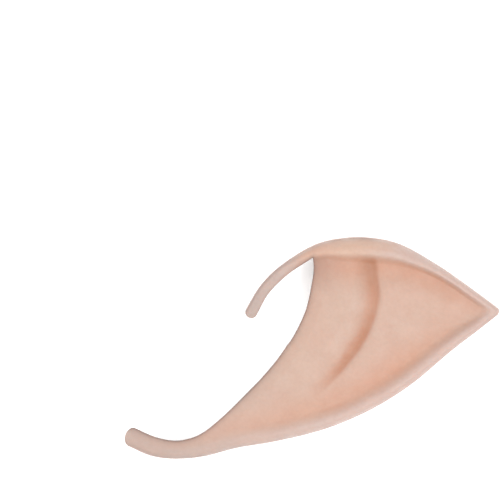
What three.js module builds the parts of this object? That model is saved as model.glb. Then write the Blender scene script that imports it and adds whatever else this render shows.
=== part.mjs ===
// An ear tip of soft latex: one thin-walled pocket with a point, a hook and a tail.
// It lies on its back. +X runs from the tail to the point, +Y to the hook's side, +Z out of its face.
// Ribs run from the rim to the edge of the mouth, and each rib carries one C-shaped section:
// a face sheet and a back sheet that meet in the rim and leave a slot open to the mouth.
import * as THREE from "three";

// Driving sizes, in millimetres.
const LENGTH = 120; // tail end to point
const WIDTH = 54.3; // lower rim to upper rim
const DEPTH = 14; // back to the highest crest of the rim
const WALL = 1.2; // latex, face and back alike
const TIP_RADIUS = 1.8; // round of the point, seen from the front
const RIM_WIDTH = 6.4; // widest stretch of the rolled rim
const VALLEY_DEPTH = 1.8; // deepest dip inside the rim
const VALLEY_REACH = 9; // from the rim's foot to where the dip has run out
const RIM_STEP = 0.7; // how far the face lies below the rim's crest
const FOLD_DEPTH = 1.35; // deepest cut of the fold across the face
const FOLD_EDGE = 3.2; // width of the fold's steep side, which faces the mouth
const FOLD_SLOPE = 7; // width of the fold's soft side
const LIP_DROP = 0.9; // how far the face rolls down at the mouth
const LIP_REACH = 4.5; // width of that roll
const BACK_SETBACK = 3; // how far the back's edge lies behind the face's
const POINT_LIFT_REACH = 26; // length over which the back rises towards the point

// Shares of the sizes above.
const RIM_ROUND = 0.7; // outer round of the rim, of its width
const BACK_ROUND = 1.15; // round at the back of the rim, of its width
const PARTING = 0.42; // height of the rim's outermost line, of its own depth
const THINNEST = 0.34; // most of a section's depth that one sheet may take
const FOOT_START = 0.72; // where the rim starts to fall, of its width
const HOOK_END_REACH = 1; // how far the hook's round end reaches, of its half width
const TAIL_END_REACH = 0.75; // the same at the tail
const MOST_SETBACK = 0.35; // of a rib, where it is too short for the whole setback
const SHALLOW_SLOT = 0.86; // where the shallowest slot ends, of the rib
const LEAST_SLOT_ROUND = 0.35; // radius at the slot's bottom, of the wall
const ROUND_LIMIT = 0.75; // most of a rib that the rim's rounds may take
const SLOT_ROUND_LIMIT = 0.6; // the same for the slot
const FOOT_LIMIT = 0.35; // most of a rib that the rim's foot may take
const MOST_LEAN = 1.7; // most that a leaning sheet is thickened
const TIP_LIMIT = 0.9; // most of a row that the point's round may take

// Ribs from the hook's end round the point to the tail's end.
// x, y: rim. mouthX, mouthY: edge of the mouth. Shares of LENGTH and WIDTH.
// crest, edge, keel: heights of the rim, of the mouth's edge and of the rim's back, of DEPTH.
// rim: of RIM_WIDTH. foot: where the rim has come down to the face, of the rim's width there.
// step: of RIM_STEP. dip: of VALLEY_DEPTH. open: depth of the slot, 1 where it reaches the rim.
const COLUMNS = [
  "x", "y", "mouthX", "mouthY", "crest", "edge", "keel", "rim", "foot", "step", "dip", "open",
];
const ROWS = [
  [0.398, 0.773, 0.418, 0.724, 0.27, 0.23, 0.02, 0.36, 1.6, 0.0, 0.0, 0.3],
  [0.45, 0.872, 0.464, 0.817, 0.5, 0.46, 0.17, 0.36, 1.6, 0.0, 0.0, 0.5],
  [0.515, 0.944, 0.526, 0.886, 0.76, 0.72, 0.33, 0.38, 1.6, 0.2, 0.0, 0.55],
  [0.611, 0.993, 0.597, 0.929, 0.97, 0.88, 0.06, 0.6, 1.3, 1.0, 0.5, 0.9],
  [0.684, 0.979, 0.59, 0.869, 1.0, 0.85, 0.0, 0.95, 1.2, 1.0, 0.7, 1.0],
  [0.749, 0.934, 0.573, 0.791, 0.95, 0.82, 0.0, 1.03, 1.2, 1.0, 0.85, 1.0],
  [0.818, 0.842, 0.543, 0.68, 0.85, 0.79, 0.0, 0.86, 1.2, 1.0, 1.0, 1.0],
  [0.893, 0.66, 0.513, 0.603, 0.68, 0.77, 0.03, 0.48, 1.25, 1.0, 1.0, 1.0],
  [0.966, 0.442, 0.483, 0.541, 0.47, 0.75, 0.09, 0.37, 1.35, 0.8, 0.5, 1.0],
  [1.006, 0.315, 0.464, 0.511, 0.36, 0.74, 0.14, 0.34, 1.5, 0.5, 0.15, 1.0],
  [0.932, 0.256, 0.437, 0.466, 0.42, 0.73, 0.08, 0.39, 1.7, 0.7, 0.4, 1.0],
  [0.852, 0.195, 0.408, 0.425, 0.48, 0.72, 0.03, 0.45, 1.85, 0.75, 0.6, 1.0],
  [0.731, 0.09, 0.369, 0.375, 0.55, 0.7, 0.0, 0.49, 2.0, 0.7, 0.65, 1.0],
  [0.613, 0.028, 0.329, 0.33, 0.58, 0.67, 0.0, 0.49, 2.0, 0.7, 0.65, 1.0],
  [0.491, 0.007, 0.286, 0.282, 0.58, 0.64, 0.0, 0.49, 2.0, 0.6, 0.55, 1.0],
  [0.37, 0.027, 0.243, 0.239, 0.56, 0.6, 0.0, 0.49, 2.0, 0.5, 0.4, 1.0],
  [0.265, 0.062, 0.203, 0.206, 0.51, 0.54, 0.0, 0.49, 1.95, 0.4, 0.25, 1.0],
  [0.179, 0.076, 0.167, 0.195, 0.44, 0.46, 0.0, 0.47, 1.85, 0.3, 0.1, 0.95],
  [0.11, 0.113, 0.123, 0.21, 0.37, 0.37, 0.0, 0.45, 1.6, 0.2, 0.0, 0.75],
  [0.056, 0.17, 0.078, 0.266, 0.3, 0.29, 0.0, 0.44, 1.6, 0.0, 0.0, 0.5],
  [0.011, 0.257, 0.039, 0.344, 0.25, 0.23, 0.0, 0.43, 1.6, 0.0, 0.0, 0.3],
];
const ROOT_ROW = 3; // the mouth's edge has its corner here, between hook and pocket
const TIP_ROW = 9; // the rim has its corner here, before the point is rounded

// The fold from under the rim down across the face. x, y: shares of LENGTH and WIDTH.
// cut: of FOLD_DEPTH.
const FOLD_COLUMNS = ["x", "y", "cut"];
const FOLD_ROWS = [
  [0.741, 0.928, 1.0],
  [0.728, 0.785, 1.0],
  [0.709, 0.612, 0.95],
  [0.655, 0.445, 0.85],
  [0.574, 0.316, 0.65],
  [0.481, 0.21, 0.0],
];

// How finely the solid is cut into facets.
const RIB_SPACING = 0.035; // of LENGTH
const TIP_STEPS = 5; // round the point
const END_STEPS = 3; // round each end
const END_ANGLE = 1.35; // radians of a quarter round, before the flat cap
const RIM_STEPS = 5; // over the rim, on the face's side
const BACK_RIM_STEPS = 4;
const SLOT_RIM_STEPS = 3;
const FACE_STEPS = [3, 4, 2, 3, 4]; // rim's foot, face, steep side, soft side, bulge to the mouth
const LEAST_STATION = 0.15; // between those stretches' ends, of the rib's rest
const BACK_STEPS = 6;
const OUTLINE_STEPS = 8; // of a row, where distances to the rim are measured
const HALVINGS = 24; // when a distance is looked for along a rib
const TIP_CLEARANCE = 0.1; // of a row, kept free of other ribs beside the point's round
const BRINK = 1.5; // where the facets turn finer before the fold, of FOLD_EDGE
const SLOPE_REACH = 0.25; // to each side of a point, where the face's lean is measured
const TOUCHING = 1e-6; // least distance that is told from none
const BLEND_POWER = 4; // how softly the upper and lower rim's distances meet

const SIZE_OF_COLUMN = {
  x: LENGTH, y: WIDTH, mouthX: LENGTH, mouthY: WIDTH, crest: DEPTH, edge: DEPTH, keel: DEPTH,
  rim: RIM_WIDTH, foot: 1, step: RIM_STEP, dip: VALLEY_DEPTH, open: 1, cut: FOLD_DEPTH,
};

const clamp01 = (v) => Math.min(Math.max(v, 0), 1);
const ease = (v) => clamp01(v) ** 2 * (3 - 2 * clamp01(v));
const mix = THREE.MathUtils.lerp;
// A quarter ellipse: 0 at the edge, 1 from a full radius inwards.
const roundOver = (v) => Math.sqrt(1 - (1 - clamp01(v)) ** 2);

// A table's column at any place between its rows, in millimetres, smooth but for one corner row.
function valueAt(rows, columns, name, place, corner = -1) {
  const column = columns.indexOf(name);
  const final = rows.length - 1;
  const row = Math.min(Math.floor(place), final - 1);
  const at = (i) => rows[i][column];
  const start = at(row);
  const end = at(row + 1);
  const before = row === 0 || row === corner ? 2 * start - end : at(row - 1);
  const endsHere = row + 1 === final || row + 1 === corner;
  const after = endsHere ? 2 * end - start : at(row + 2);
  const f = place - row;
  const tangentIn = (end - before) / 2;
  const tangentOut = (after - start) / 2;
  const share =
    start * (2 * f ** 3 - 3 * f ** 2 + 1) +
    tangentIn * (f ** 3 - 2 * f ** 2 + f) +
    end * (3 * f ** 2 - 2 * f ** 3) +
    tangentOut * (f ** 3 - f ** 2);
  return share * SIZE_OF_COLUMN[name];
}

const LAST = ROWS.length - 1;
const FOLD_LAST = FOLD_ROWS.length - 1;
const ribValue = (name, place, corner) => valueAt(ROWS, COLUMNS, name, place, corner);
const foldValue = (name, place) => valueAt(FOLD_ROWS, FOLD_COLUMNS, name, place);
const sharpRim = (place) =>
  new THREE.Vector2(ribValue("x", place, TIP_ROW), ribValue("y", place, TIP_ROW));
const mouthEdge = (place) =>
  new THREE.Vector2(ribValue("mouthX", place, ROOT_ROW), ribValue("mouthY", place, ROOT_ROW));
const foldPoint = (place) => new THREE.Vector2(foldValue("x", place), foldValue("y", place));

// Where the point's round starts and ends, as places between the rows.
const [TIP_START, TIP_END] = tipPlaces();

function tipPlaces() {
  const corner = sharpRim(TIP_ROW);
  const upper = sharpRim(TIP_ROW - 1).sub(corner);
  const lower = sharpRim(TIP_ROW + 1).sub(corner);
  const halfAngle = Math.abs(upper.angleTo(lower)) / 2;
  const tangentLength = TIP_RADIUS / Math.tan(halfAngle);
  const before = Math.min(tangentLength / upper.length(), TIP_LIMIT);
  const after = Math.min(tangentLength / lower.length(), TIP_LIMIT);
  return [TIP_ROW - before, TIP_ROW + after];
}

function rimPoint(place) {
  if (place <= TIP_START || place >= TIP_END) return sharpRim(place);
  const f = (place - TIP_START) / (TIP_END - TIP_START);
  const upper = sharpRim(TIP_START).lerp(sharpRim(TIP_ROW), f);
  const lower = sharpRim(TIP_ROW).lerp(sharpRim(TIP_END), f);
  return upper.lerp(lower, f);
}

// A line of points between two places, kept with the places.
function lineOf(pointAt, from, to) {
  const steps = Math.ceil((to - from) * OUTLINE_STEPS);
  return Array.from({ length: steps + 1 }, (_, i) => {
    const place = mix(from, to, i / steps);
    return { place, point: pointAt(place) };
  });
}

const TIP_MIDDLE = (TIP_START + TIP_END) / 2;
const upperRim = [
  ...lineOf(rimPoint, 0, TIP_START),
  ...lineOf(rimPoint, TIP_START, TIP_MIDDLE).slice(1),
];
const lowerRim = [
  ...lineOf(rimPoint, TIP_MIDDLE, TIP_END).slice(0, -1),
  ...lineOf(rimPoint, TIP_END, LAST),
];
const mouthLine = [
  ...lineOf(mouthEdge, 0, ROOT_ROW).slice(0, -1),
  ...lineOf(mouthEdge, ROOT_ROW, LAST),
];
const foldLine = lineOf(foldPoint, 0, FOLD_LAST);

// The nearest place of a line to a point, and how far it is. side is positive on the line's left.
function nearest(line, p) {
  let best = { distance: Infinity };
  for (let i = 0; i + 1 < line.length; i++) {
    const a = line[i];
    const b = line[i + 1];
    const run = b.point.clone().sub(a.point);
    const offset = p.clone().sub(a.point);
    const f = clamp01(offset.dot(run) / run.lengthSq());
    const distance = offset.clone().addScaledVector(run, -f).length();
    if (distance >= best.distance) continue;
    best = { distance, place: mix(a.place, b.place, f), side: Math.sign(run.cross(offset)) };
  }
  return best;
}

// Distance to the rim, upper and lower smoothly joined, with the rim's columns there.
function rimAt(p, names = []) {
  const parts = [nearest(upperRim, p), nearest(lowerRim, p)];
  const weights = parts.map(({ distance }) => Math.max(distance, TOUCHING) ** -BLEND_POWER);
  const total = weights[0] + weights[1];
  const blend = (name) =>
    parts.reduce((sum, { place }, i) => sum + ribValue(name, place) * weights[i], 0) / total;
  const values = Object.fromEntries(names.map((name) => [name, blend(name)]));
  return { distance: total ** (-1 / BLEND_POWER), ...values };
}

// How deep the face lies below the smooth form: the rim's step, the valley, the fold and the lip.
function reliefAt(p) {
  const { distance, rim, foot, step, dip } = rimAt(p, ["rim", "foot", "step", "dip"]);
  const inside = ease((distance / rim - FOOT_START) / (foot - FOOT_START));
  const valley = dip * (1 - ease((distance - foot * rim) / VALLEY_REACH));
  const fold = nearest(foldLine, p);
  const steep = 1 - ease(fold.distance / FOLD_EDGE);
  const soft = 1 - ease(fold.distance / FOLD_SLOPE);
  const cut = foldValue("cut", fold.place) * (fold.side > 0 ? steep : soft);
  const lip = LIP_DROP * (1 - ease(nearest(mouthLine, p).distance / LIP_REACH));
  return inside * (step + valley + cut) + lip;
}

// How much thicker a leaning sheet is, measured straight up.
function leanAt(p) {
  const slopeAlong = (x, y) => {
    const step = new THREE.Vector2(x, y).multiplyScalar(SLOPE_REACH);
    const rise = reliefAt(p.clone().add(step)) - reliefAt(p.clone().sub(step));
    return rise / (2 * SLOPE_REACH);
  };
  return Math.min(Math.hypot(1, slopeAlong(1, 0), slopeAlong(0, 1)), MOST_LEAN);
}

function ribAt(place) {
  const rim = rimPoint(place);
  const mouth = mouthEdge(place);
  const along = mouth.clone().sub(rim);
  const length = along.length();
  along.normalize();
  const pointAt = (u) => rim.clone().addScaledVector(along, u);
  const value = (name) => ribValue(name, place);
  const crest = value("crest");
  const keel = value("keel");
  const edge = value("edge");
  const lowest = Math.min(crest - value("step") - value("dip"), edge - LIP_DROP);
  const wall = Math.min(WALL, THINNEST * (lowest - keel));
  const firstWhere = (isPast) => {
    let low = 0;
    let high = length;
    for (let i = 0; i < HALVINGS; i++) {
      const middle = (low + high) / 2;
      if (isPast(pointAt(middle))) high = middle;
      else low = middle;
    }
    return high;
  };
  const reachOf = (distance) => firstWhere((p) => rimAt(p).distance >= distance);
  const foldReach = firstWhere((p) => nearest(foldLine, p).side <= 0);
  return {
    rim, mouth, along, length, pointAt, crest, edge, keel, wall, reachOf, foldReach,
    width: value("rim"),
    foot: value("foot"),
    open: value("open"),
    parting: mix(keel, crest, PARTING),
  };
}

function faceHeight(rib, u, sunk) {
  const p = rib.pointAt(u);
  const form = mix(rib.crest, rib.edge, ease(u / rib.length)) - reliefAt(p);
  return form - (sunk ? rib.wall * leanAt(p) : 0);
}

function backHeight(rib, u, sunk) {
  const rise = rib.keel * (1 - ease(u / POINT_LIFT_REACH));
  return rise + (sunk ? rib.wall : 0);
}

// Lengths along a rib, spaced finely where the face turns most.
function faceStations(rib, start) {
  const least = Math.min(LEAST_STATION * (rib.length - start), FOLD_EDGE);
  const footLimit = mix(start, rib.length, FOOT_LIMIT);
  const foot = Math.min(rib.reachOf(rib.foot * rib.width), footLimit);
  const fold = rib.foldReach;
  const features = [foot, fold - BRINK * FOLD_EDGE, fold, fold + FOLD_SLOPE];
  features.sort((a, b) => a - b);
  const marks = [start];
  features.forEach((u, i) => {
    const last = rib.length - least * (features.length - i);
    marks.push(Math.min(Math.max(u, marks.at(-1) + least), last));
  });
  marks.push(rib.length);
  return FACE_STEPS.flatMap((steps, i) =>
    Array.from({ length: steps }, (_, k) => mix(marks[i], marks[i + 1], (k + 1) / steps)),
  );
}

const evenStations = (start, end, steps) =>
  Array.from({ length: steps }, (_, k) => mix(start, end, (k + 1) / steps));

// Lengths along a rib that follow a quarter round from its start, within a limit.
function roundStations(rib, start, from, radius, steps, limit) {
  const reaches = Array.from({ length: steps }, (_, k) => {
    const angle = ((k + 1) / steps) * (Math.PI / 2);
    return rib.reachOf(from + radius * (1 - Math.cos(angle)));
  });
  const room = Math.min(1, (limit - start) / (reaches.at(-1) - start));
  return reaches.map((u) => mix(start, u, room));
}

// The closed C-shaped section of a rib, from the rim's outermost line over the face,
// round the lip into the slot, out again over the back's inside and home under the back.
function sectionOf(rib) {
  const faceRound = RIM_ROUND * rib.width;
  const backRound = BACK_ROUND * rib.width;
  const distanceAt = (u) => rimAt(rib.pointAt(u)).distance;
  const setback = Math.min(BACK_SETBACK * ease(rib.open), MOST_SETBACK * rib.length);
  const backEnd = rib.length - setback;
  const slotEnd = mix(SHALLOW_SLOT * backEnd, rib.reachOf(rib.wall), rib.open);
  const slotDistance = distanceAt(slotEnd);
  const leastRound = LEAST_SLOT_ROUND * rib.wall;
  const slotRound = Math.max(faceRound - rib.wall, leastRound);
  const slotBackRound = Math.max(backRound - rib.wall, leastRound);

  const outside = (heightAt, round) => (u) => {
    const swell = roundOver(distanceAt(u) / round);
    return [u, mix(rib.parting, heightAt(rib, u, false), swell)];
  };
  const inside = (heightAt, round) => (u) => {
    const swell = roundOver((distanceAt(u) - slotDistance) / round);
    return [u, mix(rib.parting, heightAt(rib, u, true), swell)];
  };

  const faceLimit = ROUND_LIMIT * rib.length;
  const backLimit = ROUND_LIMIT * backEnd;
  const slotLimit = mix(slotEnd, backEnd, SLOT_ROUND_LIMIT);
  const rimFace = roundStations(rib, 0, 0, faceRound, RIM_STEPS, faceLimit);
  const rimBack = roundStations(rib, 0, 0, backRound, BACK_RIM_STEPS, backLimit);
  const slotStations = (round) =>
    roundStations(rib, slotEnd, slotDistance, round, SLOT_RIM_STEPS, slotLimit);
  const slotFace = slotStations(slotRound);
  const slotBack = slotStations(slotBackRound);
  const faceStart = rimFace.at(-1);
  const slotFaceStart = slotFace.at(-1);
  const slotBackStart = slotBack.at(-1);
  const backStart = rimBack.at(-1);

  const face = [...rimFace, ...faceStations(rib, faceStart)].map(outside(faceHeight, faceRound));
  const faceInside = [...slotFace, ...faceStations(rib, slotFaceStart)].map(
    inside(faceHeight, slotRound),
  );
  const backInside = [...slotBack, ...evenStations(slotBackStart, backEnd, BACK_STEPS)].map(
    inside(backHeight, slotBackRound),
  );
  const back = [...rimBack, ...evenStations(backStart, backEnd, BACK_STEPS)].map(
    outside(backHeight, backRound),
  );
  return [
    [0, rib.parting],
    ...face,
    ...faceInside.reverse(),
    [slotEnd, rib.parting],
    ...backInside,
    ...back.reverse(),
  ];
}

const placed = (rib) => ([u, z]) => {
  const p = rib.pointAt(u);
  return new THREE.Vector3(p.x, p.y, z);
};

// The places of the ribs: evenly spaced along the rim, closer round the point.
function ribPlaces() {
  const places = [];
  for (let row = 0; row < LAST; row++) {
    const run = sharpRim(row).distanceTo(sharpRim(row + 1));
    const steps = Math.ceil(run / (RIB_SPACING * LENGTH));
    for (let i = 0; i < steps; i++) places.push(row + i / steps);
  }
  const nearTip = (place) =>
    place > TIP_START - TIP_CLEARANCE && place < TIP_END + TIP_CLEARANCE;
  const tip = Array.from({ length: TIP_STEPS + 1 }, (_, i) =>
    mix(TIP_START, TIP_END, i / TIP_STEPS),
  );
  return [...places.filter((place) => !nearTip(place)), ...tip, LAST].sort((a, b) => a - b);
}

// An end rounds off by copies of its section that shrink about their middle as they move out.
function endRings(rib, ring, outwards, reachShare) {
  const middle = rib.rim.clone().lerp(rib.mouth, 0.5);
  const centre = new THREE.Vector3(middle.x, middle.y, rib.parting);
  const reach = (reachShare * rib.length) / 2;
  return Array.from({ length: END_STEPS }, (_, i) => {
    const angle = ((i + 1) / END_STEPS) * END_ANGLE;
    return ring.map((p) =>
      p
        .clone()
        .sub(centre)
        .multiplyScalar(Math.cos(angle))
        .add(centre)
        .addScaledVector(outwards, reach * Math.sin(angle)),
    );
  });
}

// The way out of the piece past its first or last rib.
function endDirection(rib, neighbour) {
  const across = new THREE.Vector3(-rib.along.y, rib.along.x, 0);
  const away = rib.rim.clone().sub(neighbour.rim);
  return across.multiplyScalar(Math.sign(across.x * away.x + across.y * away.y));
}

// A strip of facets between two lines of a section that both run inwards from the rim.
function stripBetween(section, outer, inner) {
  const facets = [];
  let [i, j] = [0, 0];
  const reach = (line, k) => (k < line.length ? section[line[k]][0] : Infinity);
  while (i + 1 < outer.length || j + 1 < inner.length) {
    if (reach(outer, i + 1) <= reach(inner, j + 1)) {
      facets.push([outer[i], outer[i + 1], inner[j]]);
      i++;
    } else {
      facets.push([outer[i], inner[j + 1], inner[j]]);
      j++;
    }
  }
  return facets;
}

// The facets that close a section: one strip across its face, one across its back.
function capOf(section) {
  const faceCount = RIM_STEPS + FACE_STEPS.reduce((sum, steps) => sum + steps);
  const backCount = BACK_RIM_STEPS + BACK_STEPS;
  const span = (from, to) => {
    const step = Math.sign(to - from);
    return Array.from({ length: Math.abs(to - from) + 1 }, (_, k) => from + k * step);
  };
  const slotEnd = section.length - 1 - backCount - SLOT_RIM_STEPS - BACK_STEPS;
  const face = stripBetween(section, span(0, faceCount), span(slotEnd, faceCount + 1));
  const backOuter = [0, ...span(section.length - 1, section.length - backCount)];
  const backInner = span(slotEnd, section.length - backCount - 1);
  const back = stripBetween(section, backOuter, backInner).map(([a, b, c]) => [a, c, b]);
  return [...face, ...back];
}

// The skin between the rings, and a flat cap on each end, cut like that end's section.
function geometryOf(rings, capSections) {
  const count = rings[0].length;
  const index = [];
  for (let i = 0; i + 1 < rings.length; i++) {
    for (let j = 0; j < count; j++) {
      const k = (j + 1) % count;
      const [here, next] = [i * count, (i + 1) * count];
      index.push(here + j, here + k, next + k, here + j, next + k, next + j);
    }
  }
  const lastRing = (rings.length - 1) * count;
  [0, lastRing].forEach((first, end) => {
    capOf(capSections[end]).forEach(([a, b, c]) => {
      const [second, third] = end === 0 ? [c, b] : [b, c];
      index.push(first + a, first + second, first + third);
    });
  });
  const geometry = new THREE.BufferGeometry().setFromPoints(rings.flat());
  geometry.setIndex(index);
  geometry.computeVertexNormals();
  return geometry;
}

function earTip() {
  const ribs = ribPlaces().map(ribAt);
  const sections = ribs.map(sectionOf);
  const body = ribs.map((rib, i) => sections[i].map(placed(rib)));
  const [hookRib, tailRib] = [ribs[0], ribs.at(-1)];
  const hookOut = endDirection(hookRib, ribs[1]);
  const tailOut = endDirection(tailRib, ribs.at(-2));
  const hookEnd = endRings(hookRib, body[0], hookOut, HOOK_END_REACH).reverse();
  const tailEnd = endRings(tailRib, body.at(-1), tailOut, TAIL_END_REACH);
  const geometry = geometryOf([...hookEnd, ...body, ...tailEnd], [sections[0], sections.at(-1)]);
  standOnOrigin(geometry);
  const latex = new THREE.MeshStandardMaterial({ color: 0xe4c2b0, roughness: 0.55, metalness: 0 });
  const mesh = new THREE.Mesh(geometry, latex);
  mesh.name = "ear_tip";
  return mesh;
}

// The origin is under the middle of the whole piece, on the surface that it lies on.
function standOnOrigin(geometry) {
  geometry.computeBoundingBox();
  const { min, max } = geometry.boundingBox;
  geometry.translate(-(min.x + max.x) / 2, -(min.y + max.y) / 2, -min.z);
}

const group = new THREE.Group();
group.add(earTip());

export default group;
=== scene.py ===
"""A pointed ear tip of soft latex, lying on its back on a pale floor in soft studio light.

Sizes are in millimetres, like the solid's, and turn into metres where the mesh is made.
"""

import math

import bpy
import numpy as np
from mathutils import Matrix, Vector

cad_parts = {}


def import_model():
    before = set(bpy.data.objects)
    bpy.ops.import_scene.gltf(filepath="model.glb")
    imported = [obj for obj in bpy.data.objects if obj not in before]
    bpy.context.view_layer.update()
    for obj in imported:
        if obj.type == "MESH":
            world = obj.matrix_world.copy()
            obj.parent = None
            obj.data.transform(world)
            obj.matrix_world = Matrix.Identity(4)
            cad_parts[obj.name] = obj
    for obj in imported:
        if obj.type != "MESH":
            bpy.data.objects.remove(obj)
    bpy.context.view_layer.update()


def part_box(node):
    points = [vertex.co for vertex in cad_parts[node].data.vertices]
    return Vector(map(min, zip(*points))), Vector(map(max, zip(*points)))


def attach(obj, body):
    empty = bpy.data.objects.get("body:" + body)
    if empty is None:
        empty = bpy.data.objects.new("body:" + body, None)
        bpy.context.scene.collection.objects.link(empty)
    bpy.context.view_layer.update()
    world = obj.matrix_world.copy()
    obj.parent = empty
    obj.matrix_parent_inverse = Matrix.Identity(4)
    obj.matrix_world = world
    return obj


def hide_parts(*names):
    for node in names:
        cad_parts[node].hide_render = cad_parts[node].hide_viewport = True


MM = 0.001

# Driving sizes, the same as the solid's.
LENGTH = 120.0
WIDTH = 54.3
DEPTH = 14.0
WALL = 1.2
TIP_RADIUS = 1.8
RIM_WIDTH = 6.4
VALLEY_DEPTH = 1.8
VALLEY_REACH = 9.0
RIM_STEP = 0.7
FOLD_DEPTH = 1.35
FOLD_EDGE = 3.2
FOLD_SLOPE = 7.0
LIP_DROP = 0.9
LIP_REACH = 4.5
BACK_SETBACK = 3.0
POINT_LIFT_REACH = 26.0
SEAM_RISE = 0.1  # the mould's parting line, on the rim's outermost line
SWELL_DEPTH = 0.12  # the hand-made form is never quite even
SWELL_WAVES = ((17.0, 0.4), (23.0, 1.5), (13.0, 2.4))  # length in mm and direction in radians

# Shares of the sizes above, and limits.
RIM_ROUND = 0.7
BACK_ROUND = 1.15
PARTING = 0.42
THINNEST = 0.34
FOOT_START = 0.72
HOOK_END_REACH = 1.0
TAIL_END_REACH = 0.75
MOST_SETBACK = 0.35
SHALLOW_SLOT = 0.86
LEAST_SLOT_ROUND = 0.35
ROUND_LIMIT = 0.75
SLOT_ROUND_LIMIT = 0.6
MOST_LEAN = 1.7
TIP_LIMIT = 0.9

# Ribs from the hook's end round the point to the tail's end, as in the solid, and three more
# columns. paint: how strongly the valley inside the rim is darkened by painted shade.
# blush: how pink the rim is. line: how dark the painted shade on the rim's outermost line is.
# x, y, mouthX and mouthY weren't chosen by hand: a program worked them out from edges measured
# in the photograph. Only x and y of rows 4, 5, 6 and 8, counted from 0, were typed over later.
# The other columns were typed.
COLUMNS = (
    "x", "y", "mouthX", "mouthY", "crest", "edge", "keel", "rim", "foot", "step", "dip", "open",
    "paint", "blush", "line",
)
ROWS = (
    (0.398, 0.773, 0.418, 0.724, 0.27, 0.23, 0.02, 0.36, 1.6, 0.0, 0.0, 0.3, 0.0, 1.0, 1.0),
    (0.45, 0.872, 0.464, 0.817, 0.5, 0.46, 0.17, 0.36, 1.6, 0.0, 0.0, 0.5, 0.0, 1.0, 1.0),
    (0.515, 0.944, 0.526, 0.886, 0.76, 0.72, 0.33, 0.38, 1.6, 0.2, 0.0, 0.55, 0.2, 0.8, 1.0),
    (0.611, 0.993, 0.597, 0.929, 0.97, 0.88, 0.06, 0.6, 1.3, 1.0, 0.5, 0.9, 1.0, 0.3, 0.9),
    (0.684, 0.979, 0.59, 0.869, 1.0, 0.85, 0.0, 0.95, 1.2, 1.0, 0.7, 1.0, 1.2, 0.25, 0.9),
    (0.749, 0.934, 0.573, 0.791, 0.95, 0.82, 0.0, 1.03, 1.2, 1.0, 0.85, 1.0, 1.1, 0.5, 1.0),
    (0.818, 0.842, 0.543, 0.68, 0.85, 0.79, 0.0, 0.86, 1.2, 1.0, 1.0, 1.0, 1.0, 0.8, 0.5),
    (0.893, 0.66, 0.513, 0.603, 0.68, 0.77, 0.03, 0.48, 1.25, 1.0, 1.0, 1.0, 1.0, 1.0, 0.25),
    (0.966, 0.442, 0.483, 0.541, 0.47, 0.75, 0.09, 0.37, 1.35, 0.8, 0.5, 1.0, 0.55, 1.0, 0.25),
    (1.006, 0.315, 0.464, 0.511, 0.36, 0.74, 0.14, 0.34, 1.5, 0.5, 0.15, 1.0, 0.1, 1.0, 0.3),
    (0.932, 0.256, 0.437, 0.466, 0.42, 0.73, 0.08, 0.39, 1.7, 0.7, 0.4, 1.0, 0.2, 1.0, 0.3),
    (0.852, 0.195, 0.408, 0.425, 0.48, 0.72, 0.03, 0.45, 1.85, 0.75, 0.6, 1.0, 0.55, 1.0, 0.3),
    (0.731, 0.09, 0.369, 0.375, 0.55, 0.7, 0.0, 0.49, 2.0, 0.7, 0.65, 1.0, 0.95, 1.0, 0.35),
    (0.613, 0.028, 0.329, 0.33, 0.58, 0.67, 0.0, 0.49, 2.0, 0.7, 0.65, 1.0, 0.8, 1.0, 0.35),
    (0.491, 0.007, 0.286, 0.282, 0.58, 0.64, 0.0, 0.49, 2.0, 0.6, 0.55, 1.0, 0.7, 1.0, 0.4),
    (0.37, 0.027, 0.243, 0.239, 0.56, 0.6, 0.0, 0.49, 2.0, 0.5, 0.4, 1.0, 0.6, 0.9, 0.45),
    (0.265, 0.062, 0.203, 0.206, 0.51, 0.54, 0.0, 0.49, 1.95, 0.4, 0.25, 1.0, 0.45, 0.75, 0.5),
    (0.179, 0.076, 0.167, 0.195, 0.44, 0.46, 0.0, 0.47, 1.85, 0.3, 0.1, 0.95, 0.35, 0.65, 0.6),
    (0.11, 0.113, 0.123, 0.21, 0.37, 0.37, 0.0, 0.45, 1.6, 0.2, 0.0, 0.75, 0.3, 0.55, 0.7),
    (0.056, 0.17, 0.078, 0.266, 0.3, 0.29, 0.0, 0.44, 1.6, 0.0, 0.0, 0.5, 0.1, 0.5, 0.8),
    (0.011, 0.257, 0.039, 0.344, 0.25, 0.23, 0.0, 0.43, 1.6, 0.0, 0.0, 0.3, 0.0, 0.5, 0.8),
)
ROOT_ROW = 3
TIP_ROW = 9

FOLD_COLUMNS = ("x", "y", "cut")
FOLD_ROWS = (
    (0.741, 0.928, 1.0),
    (0.728, 0.785, 1.0),
    (0.709, 0.612, 0.95),
    (0.655, 0.445, 0.85),
    (0.574, 0.316, 0.65),
    (0.481, 0.21, 0.0),
)
SIZE_OF_COLUMN = {
    "x": LENGTH, "y": WIDTH, "mouthX": LENGTH, "mouthY": WIDTH,
    "crest": DEPTH, "edge": DEPTH, "keel": DEPTH,
    "rim": RIM_WIDTH, "foot": 1.0, "step": RIM_STEP, "dip": VALLEY_DEPTH,
    "open": 1.0, "cut": FOLD_DEPTH, "paint": 1.0, "blush": 1.0, "line": 1.0,
}

# Where the tints, the painted shade and the painted light lie and how far they reach, in
# millimetres, and how strong they are, as shares.
# Painted shade in the valley inside the rim: how far it reaches past the rim's foot.
VALLEY_SHADE_REACH = 5.0
# Painted shade in the fold: how strong it is, how far its core and edge reach towards the point, and
# how far it reaches towards the mouth at the top and at the end.
FOLD_SHADE_GAIN = 1.5
FOLD_SHADE_CORE = 1.1
FOLD_SHADE_EDGE = 1.4
FOLD_SHADE_TOP = 3.5
FOLD_SHADE_END = 1.3
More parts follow.
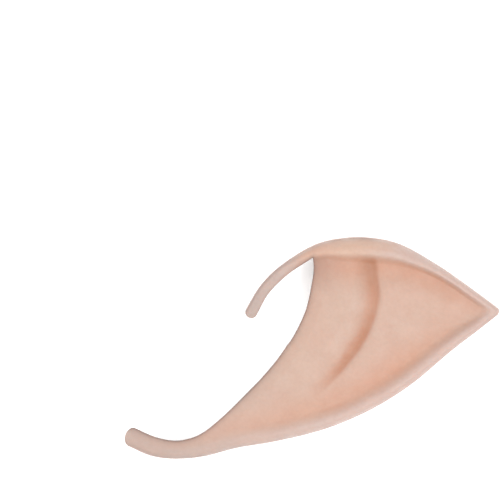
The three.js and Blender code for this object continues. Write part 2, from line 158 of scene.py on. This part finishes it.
# Painted shade along the mouth's edge and along the rim's outermost line: how far it reaches, and
# how dark it is on the mouth's edge along the hook.
EDGE_SHADE_REACH = 0.6
LINE_SHADE_START = 0.2
LINE_SHADE_REACH = 0.7
HOOK_EDGE_SHADE = 0.3  # how dark the mouth's edge is along the hook
# Painted shade in the hollow under the rim by the hook's root: how strong it is and how far it
# reaches.
ROOT_SHADE = 0.75
ROOT_SHADE_REACH = 15.0
HOOK_COOLING = 0.9
# Painted light on the rim's top past the hook's root, a lighter and warmer tone: how strong it is,
# where it starts on y and how far it reaches.
CROWN_LIGHT = 0.9
CROWN_LIGHT_START = 43.0
CROWN_LIGHT_REACH = 7.0
LIMB_START = 64.0
LIMB_REACH = 55.0

# How finely the skin is woven.
RIBS = 330
RIM_STEPS = 12
BACK_RIM_STEPS = 10
SLOT_RIM_STEPS = 6
FACE_STEPS = 130
INSIDE_STEPS = 44
BACK_INSIDE_STEPS = 20
BACK_STEPS = 26
LIP_STEPS = 6
END_STEPS = 12
OUTLINE_STEPS = 24
LEAST_OUTLINE_STEPS = 2
HALVINGS = 22
DENSITY_SAMPLES = 300
PLACE_SAMPLES = 2400
BLEND_POWER = 4
TOUCHING = 1e-6
SLOPE_REACH = 0.25
CHUNK = 8192

# Where the skin's points gather: how many times closer than elsewhere.
RIM_DENSITY = 3.0
FOLD_DENSITY = 4.0
LIP_DENSITY = 4.0
FOLD_ZONE = 2.6
LIP_ZONE = 1.4
TIP_RIB_DENSITY = 5.0
TIP_RIB_ZONE = 0.35


def ease(v):
    v = np.clip(v, 0.0, 1.0)
    return v * v * (3.0 - 2.0 * v)


def mix(a, b, f):
    return a + (b - a) * f


def round_over(v):
    """A quarter ellipse: 0 at the edge, 1 from a full radius inwards."""
    return np.sqrt(1.0 - (1.0 - np.clip(v, 0.0, 1.0)) ** 2)


def value_at(rows, columns, name, place, corner=-1):
    """A table's column at places between its rows, in millimetres, smooth but for one corner."""
    column = np.array([row[columns.index(name)] for row in rows])
    final = len(rows) - 1
    place = np.asarray(place, dtype=float)
    row = np.minimum(np.floor(place).astype(int), final - 1)
    start, end = column[row], column[row + 1]
    starts_here = (row == 0) | (row == corner)
    ends_here = (row + 1 == final) | (row + 1 == corner)
    before = np.where(starts_here, 2 * start - end, column[np.maximum(row - 1, 0)])
    after = np.where(ends_here, 2 * end - start, column[np.minimum(row + 2, final)])
    f = place - row
    share = (
        start * (2 * f**3 - 3 * f**2 + 1)
        + (end - before) / 2 * (f**3 - 2 * f**2 + f)
        + end * (3 * f**2 - 2 * f**3)
        + (after - start) / 2 * (f**3 - f**2)
    )
    return share * SIZE_OF_COLUMN[name]


LAST = len(ROWS) - 1
FOLD_LAST = len(FOLD_ROWS) - 1


def rib_value(name, place, corner=-1):
    return value_at(ROWS, COLUMNS, name, place, corner)


def fold_value(name, place):
    return value_at(FOLD_ROWS, FOLD_COLUMNS, name, place)


def sharp_rim(place):
    return np.stack([rib_value(name, place, TIP_ROW) for name in ("x", "y")], axis=-1)


def mouth_edge(place):
    return np.stack([rib_value(name, place, ROOT_ROW) for name in ("mouthX", "mouthY")], axis=-1)


def fold_point(place):
    return np.stack([fold_value(name, place) for name in ("x", "y")], axis=-1)


def tip_places():
    """Where the point's round starts and ends, as places between the rows."""
    corner = sharp_rim(TIP_ROW)
    upper = sharp_rim(TIP_ROW - 1) - corner
    lower = sharp_rim(TIP_ROW + 1) - corner
    lengths = [np.hypot(*upper), np.hypot(*lower)]
    half_angle = math.acos(upper @ lower / (lengths[0] * lengths[1])) / 2
    tangent_length = TIP_RADIUS / math.tan(half_angle)
    before, after = [min(tangent_length / length, TIP_LIMIT) for length in lengths]
    return TIP_ROW - before, TIP_ROW + after


TIP_START, TIP_END = tip_places()


def rim_point(place):
    place = np.asarray(place, dtype=float)
    f = np.clip((place - TIP_START) / (TIP_END - TIP_START), 0.0, 1.0)[..., None]
    upper = mix(sharp_rim(TIP_START), sharp_rim(TIP_ROW), f)
    lower = mix(sharp_rim(TIP_ROW), sharp_rim(TIP_END), f)
    on_tip = (place > TIP_START) & (place < TIP_END)
    return np.where(on_tip[..., None], mix(upper, lower, f), sharp_rim(place))


def line_of(point_at, *marks):
    """A line of points through places that it keeps, the marks exactly among them."""
    stretches = []
    for start, end in zip(marks, marks[1:]):
        steps = max(LEAST_OUTLINE_STEPS, math.ceil((end - start) * OUTLINE_STEPS))
        stretches.append(np.linspace(start, end, steps, endpoint=False))
    places = np.concatenate([*stretches, [marks[-1]]])
    return places, point_at(places)


TIP_MIDDLE = (TIP_START + TIP_END) / 2
UPPER_RIM = line_of(rim_point, 0.0, TIP_START, TIP_MIDDLE)
LOWER_RIM = line_of(rim_point, TIP_MIDDLE, TIP_END, LAST)
MOUTH_LINE = line_of(mouth_edge, 0.0, ROOT_ROW, LAST)
FOLD_LINE = line_of(fold_point, 0.0, FOLD_LAST)


def nearest(line, p):
    """Distance, place and side of a line for many points. side is positive on its left."""
    places, points = line
    flat = p.reshape(-1, 2)
    closest = np.empty(len(flat), dtype=int)
    for first in range(0, len(flat), CHUNK):
        part = flat[first : first + CHUNK]
        squared = (points**2).sum(axis=1) - 2 * part @ points.T
        closest[first : first + CHUNK] = squared.argmin(axis=1)
    best = np.full(len(flat), np.inf)
    place = np.zeros(len(flat))
    side = np.ones(len(flat))
    for shift in (-1, 0):
        i = np.clip(closest + shift, 0, len(points) - 2)
        run = points[i + 1] - points[i]
        offset = flat - points[i]
        f = np.clip((offset * run).sum(axis=1) / (run**2).sum(axis=1), 0.0, 1.0)
        distance = np.hypot(*(offset - run * f[:, None]).T)
        nearer = distance < best
        best = np.where(nearer, distance, best)
        place = np.where(nearer, mix(places[i], places[i + 1], f), place)
        cross = run[:, 0] * offset[:, 1] - run[:, 1] * offset[:, 0]
        side = np.where(nearer, np.sign(cross), side)
    shape = p.shape[:-1]
    return best.reshape(shape), place.reshape(shape), side.reshape(shape)


def rim_at(p, *names):
    """Distance to the rim, upper and lower smoothly joined, with the rim's columns there."""
    parts = [nearest(UPPER_RIM, p), nearest(LOWER_RIM, p)]
    weights = [np.maximum(distance, TOUCHING) ** -BLEND_POWER for distance, _, _ in parts]
    total = weights[0] + weights[1]
    values = [
        sum(rib_value(name, part[1]) * weight for part, weight in zip(parts, weights)) / total
        for name in names
    ]
    return (total ** (-1 / BLEND_POWER), *values)


def relief_parts(p):
    """What sinks the face below its smooth form, each part in millimetres."""
    distance, rim, foot, step, dip = rim_at(p, "rim", "foot", "step", "dip")
    inside = ease((distance / rim - FOOT_START) / (foot - FOOT_START))
    valley = dip * (1 - ease((distance - foot * rim) / VALLEY_REACH))
    fold_distance, fold_place, fold_side = nearest(FOLD_LINE, p)
    steep = 1 - ease(fold_distance / FOLD_EDGE)
    soft = 1 - ease(fold_distance / FOLD_SLOPE)
    cut = fold_value("cut", fold_place) * np.where(fold_side > 0, steep, soft)
    mouth_distance = nearest(MOUTH_LINE, p)[0]
    lip = LIP_DROP * (1 - ease(mouth_distance / LIP_REACH))
    return inside, step, valley, cut, lip


def relief_at(p):
    inside, step, valley, cut, lip = relief_parts(p)
    return inside * (step + valley + cut) + lip


def swell_at(p):
    """The slight unevenness of the face."""
    waves = [
        np.sin(2 * math.pi * (p @ np.array([math.cos(turn), math.sin(turn)])) / length)
        for length, turn in SWELL_WAVES
    ]
    return SWELL_DEPTH * sum(waves) / len(waves)


def lean_at(p):
    """How much thicker a leaning sheet is, measured straight up."""
    slopes = []
    for axis in np.eye(2):
        shift = axis * SLOPE_REACH
        slopes.append((relief_at(p + shift) - relief_at(p - shift)) / (2 * SLOPE_REACH))
    return np.minimum(np.sqrt(1 + slopes[0] ** 2 + slopes[1] ** 2), MOST_LEAN)


def rib_places():
    """The places of the ribs, evenly apart on the rim or the mouth, closer round the point."""
    fine = np.linspace(0, LAST, PLACE_SAMPLES)
    middles = (fine[1:] + fine[:-1]) / 2
    steps = [np.hypot(*np.diff(line(fine), axis=0).T) for line in (rim_point, mouth_edge)]
    near_tip = np.exp(-(((middles - TIP_ROW) / TIP_RIB_ZONE) ** 2))
    run = np.maximum(*steps) * (1 + (TIP_RIB_DENSITY - 1) * near_tip)
    total = np.concatenate([[0.0], np.cumsum(run)])
    places = np.interp(np.linspace(0, total[-1], RIBS), total, fine)
    places[np.abs(places - ROOT_ROW).argmin()] = ROOT_ROW
    return places


class Ribs:
    """All ribs at once: one row per rib, one column per station."""

    def __init__(self, places):
        self.places = places
        self.rim = rim_point(places)
        self.mouth = mouth_edge(places)
        run = self.mouth - self.rim
        self.length = np.hypot(*run.T)
        self.along = run / self.length[:, None]
        names = ("crest", "edge", "keel", "rim", "open", "step", "dip")
        values = {name: rib_value(name, places) for name in names}
        self.crest, self.edge, self.keel = [values[name] for name in ("crest", "edge", "keel")]
        self.width, self.open = values["rim"], values["open"]
        in_valley = self.crest - values["step"] - values["dip"]
        lowest = np.minimum(in_valley, self.edge - LIP_DROP)
        self.wall = np.minimum(WALL, THINNEST * (lowest - self.keel))
        self.parting = mix(self.keel, self.crest, PARTING)

    def points(self, u):
        return self.rim[:, None, :] + self.along[:, None, :] * u[..., None]

    def distance(self, u):
        return rim_at(self.points(u))[0]

    def reach_of(self, distance):
        """How far along each rib the rim is a given distance away."""
        low = np.zeros(len(self.length))
        high = self.length.copy()
        for _ in range(HALVINGS):
            middle = (low + high) / 2
            past = self.distance(middle[:, None])[:, 0] >= distance
            high = np.where(past, middle, high)
            low = np.where(past, low, middle)
        return high

    def face_height(self, u, sunk=False):
        p = self.points(u)
        form = mix(self.crest[:, None], self.edge[:, None], ease(u / self.length[:, None]))
        height = form - relief_at(p) + swell_at(p)
        return height - self.wall[:, None] * lean_at(p) if sunk else height

    def back_height(self, u, sunk=False):
        rise = self.keel[:, None] * (1 - ease(u / POINT_LIFT_REACH))
        return rise + self.wall[:, None] if sunk else rise


def round_stations(ribs, start, from_distance, radius, steps, limit):
    """Lengths along each rib that follow a quarter round from its start, within a limit."""
    angles = (np.arange(steps) + 1) / steps * (math.pi / 2)
    reaches = [ribs.reach_of(from_distance + radius * (1 - math.cos(a))) for a in angles]
    room = np.minimum(1.0, (limit - start) / np.maximum(reaches[-1] - start, TOUCHING))
    return np.stack([mix(start, reach, room) for reach in reaches], axis=1)


def even_stations(start, end, steps):
    f = (np.arange(steps) + 1) / steps
    return mix(start[:, None], end[:, None], f[None, :])


def gathered_stations(ribs, start, end, steps):
    """Stations from start to end that gather at the rim's foot, at the fold and at the lip."""
    f = np.linspace(0, 1, DENSITY_SAMPLES)
    u = mix(start[:, None], end[:, None], f[None, :])
    p = ribs.points(u)
    distance, rim, foot = rim_at(p, "rim", "foot")
    fold_distance = nearest(FOLD_LINE, p)[0]
    at_rim = 1 - ease(distance / (foot * rim) - 1)
    at_fold = np.exp(-((fold_distance / FOLD_ZONE) ** 2))
    at_lip = np.exp(-(((ribs.length[:, None] - u) / LIP_ZONE) ** 2))
    density = (
        1
        + (RIM_DENSITY - 1) * at_rim
        + (FOLD_DENSITY - 1) * at_fold
        + (LIP_DENSITY - 1) * at_lip
    )
    total = np.cumsum((density[:, 1:] + density[:, :-1]) / 2, axis=1)
    total = np.concatenate([np.zeros((len(total), 1)), total], axis=1)
    targets = (np.arange(steps) + 1) / steps
    return np.stack([np.interp(targets * t[-1], t, row) for t, row in zip(total, u)])


def lip_round(u_end, z_above, z_below, bulge):
    """A half round that joins a sheet's upper and lower skin at its edge."""
    angles = (np.arange(LIP_STEPS - 1) + 1) / LIP_STEPS * math.pi
    u = u_end[:, None] + bulge[:, None] * np.sin(angles)
    z = (z_above + z_below)[:, None] / 2 + (z_above - z_below)[:, None] / 2 * np.cos(angles)
    return u, z


def sections(ribs):
    """The closed C-shaped sections, as lengths along the ribs and heights."""
    face_round = RIM_ROUND * ribs.width
    back_round = BACK_ROUND * ribs.width
    setback = np.minimum(BACK_SETBACK * ease(ribs.open), MOST_SETBACK * ribs.length)
    lip = ribs.wall / 2
    face_end = ribs.length - lip
    back_end = ribs.length - setback - lip
    slot_end = mix(SHALLOW_SLOT * (back_end + lip), ribs.reach_of(ribs.wall), ribs.open)
    slot_distance = ribs.distance(slot_end[:, None])[:, 0]
    least_round = LEAST_SLOT_ROUND * ribs.wall
    slot_face_round = np.maximum(face_round - ribs.wall, least_round)
    slot_back_round = np.maximum(back_round - ribs.wall, least_round)
    slot_limit = mix(slot_end, back_end, SLOT_ROUND_LIMIT)
    zero = np.zeros(len(ribs.length))

    def outside(height, u, radius):
        swell = round_over(ribs.distance(u) / radius[:, None])
        return mix(ribs.parting[:, None], height(u), swell)

    def inside(height, u, radius):
        swell = round_over((ribs.distance(u) - slot_distance[:, None]) / radius[:, None])
        return mix(ribs.parting[:, None], height(u, sunk=True), swell)

    rim_face = round_stations(ribs, zero, 0, face_round, RIM_STEPS, ROUND_LIMIT * ribs.length)
    rim_back = round_stations(ribs, zero, 0, back_round, BACK_RIM_STEPS, ROUND_LIMIT * back_end)
    slot_face = round_stations(
        ribs, slot_end, slot_distance, slot_face_round, SLOT_RIM_STEPS, slot_limit
    )
    slot_back = round_stations(
        ribs, slot_end, slot_distance, slot_back_round, SLOT_RIM_STEPS, slot_limit
    )
    face_u = np.hstack([rim_face, gathered_stations(ribs, rim_face[:, -1], face_end, FACE_STEPS)])
    face_in_u = np.hstack(
        [slot_face, gathered_stations(ribs, slot_face[:, -1], face_end, INSIDE_STEPS)]
    )
    back_in_u = np.hstack([slot_back, even_stations(slot_back[:, -1], back_end, BACK_INSIDE_STEPS)])
    back_u = np.hstack([rim_back, even_stations(rim_back[:, -1], back_end, BACK_STEPS)])

    face_z = outside(ribs.face_height, face_u, face_round)
    face_in_z = inside(ribs.face_height, face_in_u, slot_face_round)
    back_in_z = inside(ribs.back_height, back_in_u, slot_back_round)
    back_z = outside(ribs.back_height, back_u, back_round)
    face_lip = lip_round(face_end, face_z[:, -1], face_in_z[:, -1], lip)
    back_lip = lip_round(back_end, back_in_z[:, -1], back_z[:, -1], lip)

    parting = ribs.parting[:, None]
    seam = zero[:, None] - SEAM_RISE
    u = [seam, face_u, face_lip[0], face_in_u[:, ::-1], slot_end[:, None]]
    z = [parting, face_z, face_lip[1], face_in_z[:, ::-1], parting]
    u += [back_in_u, back_lip[0], back_u[:, ::-1]]
    z += [back_in_z, back_lip[1], back_z[:, ::-1]]
    hidden = [0, 0, 0, 1, 1, 1, 1, 0]  # 1 for a part in the pocket or on the back's lip
    inner = np.concatenate([np.full(part.shape[1], h) for part, h in zip(u, hidden)])
    return np.hstack(u), np.hstack(z), inner.astype(float)


def end_rings(ring, rib_rim, rib_mouth, parting, outwards, reach):
    """Copies of an end's section that shrink about its middle as they move out."""
    middle = (rib_rim + rib_mouth) / 2
    centre = np.array([*middle, parting])
    rings = []
    for i in range(END_STEPS):
        angle = (i + 1) / (END_STEPS + 1) * math.pi / 2
        rings.append(centre + (ring - centre) * math.cos(angle) + outwards * reach * math.sin(angle))
    return rings, centre + outwards * reach


def end_direction(ribs, end, neighbour):
    across = np.array([-ribs.along[end][1], ribs.along[end][0]])
    away = ribs.rim[end] - ribs.rim[neighbour]
    return np.array([*(across * np.sign(across @ away)), 0.0])


def skin():
    """The ear's vertices, faces and, for each vertex, what its colour needs to know."""
    ribs = Ribs(rib_places())
    u, z, inner = sections(ribs)
    p = ribs.points(u)
    body = np.concatenate([p, z[..., None]], axis=2)
    hook_rings, hook_pole = end_rings(
        body[0], ribs.rim[0], ribs.mouth[0], ribs.parting[0],
        end_direction(ribs, 0, 1), HOOK_END_REACH * ribs.length[0] / 2,
    )
    tail_rings, tail_pole = end_rings(
        body[-1], ribs.rim[-1], ribs.mouth[-1], ribs.parting[-1],
        end_direction(ribs, -1, -2), TAIL_END_REACH * ribs.length[-1] / 2,
    )
    rings = np.stack([*hook_rings[::-1], *body, *tail_rings])
    count = rings.shape[1]
    vertices = np.concatenate([rings.reshape(-1, 3), [hook_pole, tail_pole]])

    i, j = np.meshgrid(np.arange(len(rings) - 1), np.arange(count), indexing="ij")
    k = (j + 1) % count
    quads = np.stack([i * count + j, i * count + k, (i + 1) * count + k, (i + 1) * count + j], -1)
    quads = quads.reshape(-1, 4)
    last_ring = (len(rings) - 1) * count
    around = np.arange(count)
    hook_cap = np.stack([np.full(count, len(vertices) - 2), (around + 1) % count, around], 1)
    tail_cap = np.stack(
        [np.full(count, len(vertices) - 1), last_ring + around, last_ring + (around + 1) % count], 1
    )

    def per_ring(values):
        """Values of the ribs' stations, with the end rings like their neighbours."""
        ends = [np.repeat(values[:1], END_STEPS, 0), values, np.repeat(values[-1:], END_STEPS, 0)]
        flat = np.concatenate(ends).reshape(-1)
        return np.concatenate([flat, [flat[0], flat[-1]]])

    masks = paint_masks(p)
    masks["inner"] = np.broadcast_to(inner, u.shape)
    return vertices, quads, [hook_cap, tail_cap], {n: per_ring(m) for n, m in masks.items()}


def paint_masks(p):
    """How much of each tint a place of the face takes; some tints are painted shade and one is
    painted light.
    """
    distance, rim, foot, paint, blush, line = rim_at(
        p, "rim", "foot", "paint", "blush", "line"
    )
    inside = relief_parts(p)[0]
    beyond_foot = np.maximum(distance - foot * rim, 0)
    fold_distance, fold_place, fold_side = nearest(FOLD_LINE, p)
    strength = np.clip(FOLD_SHADE_GAIN * fold_value("cut", fold_place) / FOLD_DEPTH, 0, 1)
    towards_tip = 1 - ease((fold_distance - FOLD_SHADE_CORE) / FOLD_SHADE_EDGE)
    soft = mix(FOLD_SHADE_TOP, FOLD_SHADE_END, fold_place / FOLD_LAST)
    towards_mouth = np.exp(-((fold_distance / soft) ** 2))
    mouth_distance, mouth_place, _ = nearest(MOUTH_LINE, p)
    past_hook = ease(mouth_place - ROOT_ROW + 1)
    mouth_edge_shade = mix(HOOK_EDGE_SHADE, 1.0, past_hook)
    from_root = np.linalg.norm(p - mouth_edge(ROOT_ROW), axis=-1)
    return {
        # painted shade in the valley inside the rim
        "valley": inside * paint * np.exp(-((beyond_foot / VALLEY_SHADE_REACH) ** 2)),
        # painted shade in the fold
        "fold_shade": inside * strength * np.where(fold_side > 0, towards_tip, towards_mouth),
        "rim": (1 - inside) * blush,
        # painted shade along the mouth's edge and along the rim's outermost line
        "edge": np.maximum(
            mouth_edge_shade * np.exp(-mouth_distance / EDGE_SHADE_REACH),
            line * ease(distance / LINE_SHADE_START) * np.exp(-distance / LINE_SHADE_REACH),
        ),
        "limb": ease((LIMB_START - p[..., 0]) / LIMB_REACH),
        "hook": HOOK_COOLING * (1 - past_hook),
        # painted light on the rim's top, lighter and warmer
        "crown_light": CROWN_LIGHT * (1 - inside) * past_hook * ease((p[..., 1] - CROWN_LIGHT_START) / CROWN_LIGHT_REACH),
        # painted shade in the hollow under the rim by the hook's root
        "root": ROOT_SHADE * inside * (1 - ease(from_root / ROOT_SHADE_REACH)),
    }


def make_ear():
    vertices, quads, caps, masks = skin()
    low, high = [np.array(corner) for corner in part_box("ear_tip")]
    vertices = vertices * MM
    middle = (vertices.max(axis=0) + vertices.min(axis=0)) / 2
    shift = (low + high) / 2 - middle
    shift[2] = low[2] - vertices[:, 2].min()
    vertices += shift
    faces = quads.tolist() + [face for cap in caps for face in cap.tolist()]
    mesh = bpy.data.meshes.new("ear_skin")
    mesh.from_pydata(vertices.tolist(), [], faces)
    mesh.shade_smooth()
    for name, mask in masks.items():
        attribute = mesh.attributes.new(name, "FLOAT", "POINT")
        attribute.data.foreach_set("value", mask.astype(np.float32))
    mesh.validate()
    mesh.update()
    ear = bpy.data.objects.new("ear_skin", mesh)
    bpy.context.scene.collection.objects.link(ear)
    return ear, shift


# Colours are sRGB.
PLATEAU = (155, 130, 116)
# Painted shade: darkens the valley inside the rim.
VALLEY_SHADE = (158, 119, 99)
# Painted shade: darkens the fold.
FOLD_SHADE = (144, 101, 78)
RIM_TINT = (157, 138, 130)
# Painted shade: a dark line along the mouth's edge and the rim's outermost line.
EDGE_SHADE = (86, 69, 64)
LIMB_TINT = (149, 131, 122)
HOOK_TINT = (155, 142, 136)
# Painted light: a lighter, warmer tone on the rim's top.
CROWN_LIGHT_TINT = (164, 136, 119)
# Painted shade: darkens the hollow under the rim by the hook's root.
ROOT_SHADE_TINT = (134, 107, 94)
INNER_TINT = (160, 137, 123)
# Of these, the valley, root, fold and edge tints are painted shade and the crown's tint is painted
# light.
SKIN_TINTS = (
    ("rim", RIM_TINT),
    ("limb", LIMB_TINT),
    ("hook", HOOK_TINT),
    ("crown_light", CROWN_LIGHT_TINT),
    ("valley", VALLEY_SHADE),
    ("root", ROOT_SHADE_TINT),
    ("fold_shade", FOLD_SHADE),
    ("edge", EDGE_SHADE),
    ("inner", INNER_TINT),
)
# Grain in mm, detail, most that is mixed in, tint.
BLOTCHES = (
    (16.0, 2.0, 0.14, (160, 116, 100)),
    (5.0, 3.0, 0.12, (170, 146, 132)),
    (1.1, 2.0, 0.09, (120, 92, 80)),
)
BLOTCH_RANGE = (0.38, 0.66)

# The surface: puckers a few millimetres wide, and fine pores. Grains, depths and the reach of
# light under the skin are in millimetres. The rest are the shader's own settings.
NOISE_ROUGHNESS = 0.5
GLOSS_GRAIN = 4.0
GLOSS_DETAIL = 2.0
SMOOTHEST = 0.44
ROUGHEST = 0.6
BUMP_STRENGTH = 1.0
PUCKER_GRAIN = 3.5
PUCKER_DETAIL = 3.0
PUCKER_DEPTH = 0.12
PORE_GRAIN = 0.5
PORE_DETAIL = 2.0
PORE_DEPTH = 0.02
UNDER_SKIN = 0.25
UNDER_SKIN_REACH = 1.5
UNDER_SKIN_COLOURS = (1.0, 0.45, 0.3)
GLOSS_LEVEL = 0.35

# The sRGB curve: a straight start, then a power.
SRGB_WHITE = 255
SRGB_BREAK = 0.04045
SRGB_SLOPE = 12.92
SRGB_OFFSET = 0.055
SRGB_POWER = 2.4


def linear(colour):
    """An sRGB colour as the linear values that the shader takes."""
    shares = np.array(colour) / SRGB_WHITE
    low = shares / SRGB_SLOPE
    high = ((shares + SRGB_OFFSET) / (1 + SRGB_OFFSET)) ** SRGB_POWER
    return (*np.where(shares <= SRGB_BREAK, low, high), 1.0)


def node(tree, kind, **settings):
    made = tree.nodes.new(kind)
    for name, value in settings.items():
        setattr(made, name, value)
    return made


def mixed_in(tree, base, share, tint):
    """The base colour, mixed towards a tint by the share that a node gives."""
    mixed = node(tree, "ShaderNodeMix", data_type="RGBA")
    tree.links.new(share, mixed.inputs["Factor"])
    tree.links.new(base, mixed.inputs["A"])
    mixed.inputs["B"].default_value = linear(tint)
    return mixed.outputs["Result"]


def skin_mask(tree, name):
    """A tint's strength, kept with the skin's points."""
    return node(tree, "ShaderNodeAttribute", attribute_name=name).outputs["Fac"]


def noise(tree, place, grain_mm, detail):
    """Noise with grains of a given size."""
    made = node(tree, "ShaderNodeTexNoise")
    made.inputs["Scale"].default_value = 1 / (grain_mm * MM)
    made.inputs["Detail"].default_value = detail
    made.inputs["Roughness"].default_value = NOISE_ROUGHNESS
    tree.links.new(place, made.inputs["Vector"])
    return made.outputs["Fac"]


def spread(tree, value, low, high, start, end):
    """A value between low and high, spread over start to end."""
    made = node(tree, "ShaderNodeMapRange")
    tree.links.new(value, made.inputs["Value"])
    numbers = {"From Min": low, "From Max": high, "To Min": start, "To Max": end}
    for name, number in numbers.items():
        made.inputs[name].default_value = number
    return made.outputs["Result"]


def bumped(tree, height, depth_mm, below=None):
    """Relief of a given depth, over what lies below it."""
    made = node(tree, "ShaderNodeBump")
    made.inputs["Strength"].default_value = BUMP_STRENGTH
    made.inputs["Distance"].default_value = depth_mm * MM
    tree.links.new(height, made.inputs["Height"])
    if below is not None:
        tree.links.new(below, made.inputs["Normal"])
    return made.outputs["Normal"]


def latex_colour(tree, place):
    """Tints over cast latex, with painted shade in the hollows and along the edges and painted light
    on the rim's top, and with soft blotches and a fine speckle.
    """
    start = node(tree, "ShaderNodeRGB")
    start.outputs[0].default_value = linear(PLATEAU)
    colour = start.outputs[0]
    for name, tint in SKIN_TINTS:
        colour = mixed_in(tree, colour, skin_mask(tree, name), tint)
    for grain_mm, detail, most, tint in BLOTCHES:
        blotch = noise(tree, place, grain_mm, detail)
        share = spread(tree, blotch, *BLOTCH_RANGE, 0.0, most)
        colour = mixed_in(tree, colour, share, tint)
    return colour


def latex_material():
    material = bpy.data.materials.new("soft_latex")
    material.use_nodes = True
    tree = material.node_tree
    shader = tree.nodes["Principled BSDF"]
    place = node(tree, "ShaderNodeTexCoord").outputs["Object"]
    tree.links.new(latex_colour(tree, place), shader.inputs["Base Color"])
    gloss = noise(tree, place, GLOSS_GRAIN, GLOSS_DETAIL)
    roughness = spread(tree, gloss, *BLOTCH_RANGE, SMOOTHEST, ROUGHEST)
    tree.links.new(roughness, shader.inputs["Roughness"])
    shader.inputs["Subsurface Weight"].default_value = UNDER_SKIN
    shader.inputs["Subsurface Radius"].default_value = UNDER_SKIN_COLOURS
    shader.inputs["Subsurface Scale"].default_value = UNDER_SKIN_REACH * MM
    shader.inputs["Specular IOR Level"].default_value = GLOSS_LEVEL
    puckers = bumped(tree, noise(tree, place, PUCKER_GRAIN, PUCKER_DETAIL), PUCKER_DEPTH)
    pores = bumped(tree, noise(tree, place, PORE_GRAIN, PORE_DETAIL), PORE_DEPTH, puckers)
    tree.links.new(pores, shader.inputs["Normal"])
    return material


# The studio, in metres and watts: a matt white table that glows faintly, and two soft lamps.
FLOOR_HALF = 3.0
FLOOR_WHITE = (0.94, 0.94, 0.94, 1.0)
FLOOR_GLOW = 0.16
FLOOR_ROUGHNESS = 0.9
FLOOR_GLOSS = 0.1
FLOOR_GAP = 0.05  # below the ear, in mm
SKY_WHITE = (1.0, 1.0, 1.0, 1.0)
SKY = 1.6
KEY_PLACE = (0.5, -0.45, 0.9)
KEY_SIZE = 0.9
KEY_WATTS = 7.4
FILL_PLACE = (-0.75, 0.15, 0.6)
FILL_SIZE = 1.0
FILL_WATTS = 3.4


def make_floor():
    mesh = bpy.data.meshes.new("floor")
    signs = ((-1, -1), (1, -1), (1, 1), (-1, 1))
    corners = [(FLOOR_HALF * x, FLOOR_HALF * y, 0) for x, y in signs]
    mesh.from_pydata(corners, [], [(0, 1, 2, 3)])
    floor = bpy.data.objects.new("floor", mesh)
    floor.location.z = -FLOOR_GAP * MM
    material = bpy.data.materials.new("floor_paper")
    material.use_nodes = True
    shader = material.node_tree.nodes["Principled BSDF"]
    shader.inputs["Base Color"].default_value = FLOOR_WHITE
    shader.inputs["Roughness"].default_value = FLOOR_ROUGHNESS
    shader.inputs["Specular IOR Level"].default_value = FLOOR_GLOSS
    shader.inputs["Emission Color"].default_value = FLOOR_WHITE
    shader.inputs["Emission Strength"].default_value = FLOOR_GLOW
    mesh.materials.append(material)
    bpy.context.scene.collection.objects.link(floor)


def area_light(name, place, size, watts):
    light = bpy.data.lights.new(name, "AREA")
    light.shape = "DISK"
    light.size = size
    light.energy = watts
    lamp = bpy.data.objects.new(name, light)
    lamp.location = place
    towards_origin = -lamp.location
    lamp.rotation_euler = towards_origin.to_track_quat("-Z", "Y").to_euler()
    bpy.context.scene.collection.objects.link(lamp)


def make_light():
    world = bpy.data.worlds.new("studio")
    bpy.context.scene.world = world
    world.use_nodes = True
    background = world.node_tree.nodes["Background"]
    background.inputs["Color"].default_value = SKY_WHITE
    background.inputs["Strength"].default_value = SKY
    area_light("key", KEY_PLACE, KEY_SIZE, KEY_WATTS)
    area_light("fill", FILL_PLACE, FILL_SIZE, FILL_WATTS)


# The camera looks straight down, turned about the vertical as the photograph is. The values
# follow a fit of the render to the photograph, with a little more room beyond the point.
VIEW_TURN = math.radians(-18.42)
VIEW_CENTRE = (54.54, 58.62)  # in the frame of the rows
VIEW_WIDTH = 150.2  # of the picture, at the height VIEW_LEVEL
VIEW_LEVEL = 6.0
VIEW_END = 20.0  # in metres
CAMERA_HEIGHT = 1200.0
SENSOR = 36.0


def make_camera(shift):
    data = bpy.data.cameras.new("camera")
    data.sensor_width = SENSOR
    data.lens = SENSOR * (CAMERA_HEIGHT - VIEW_LEVEL) / VIEW_WIDTH
    data.clip_end = VIEW_END
    camera = bpy.data.objects.new("camera", data)
    centre = np.array(VIEW_CENTRE) * MM + shift[:2]
    camera.location = (*centre, CAMERA_HEIGHT * MM)
    camera.rotation_euler = (0.0, 0.0, VIEW_TURN)
    bpy.context.scene.collection.objects.link(camera)
    bpy.context.scene.camera = camera


def main():
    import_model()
    ear, shift = make_ear()
    ear.data.materials.append(latex_material())
    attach(ear, "root")
    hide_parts("ear_tip")
    make_floor()
    make_light()
    make_camera(shift)
    bpy.context.scene.view_settings.view_transform = "Standard"


main()
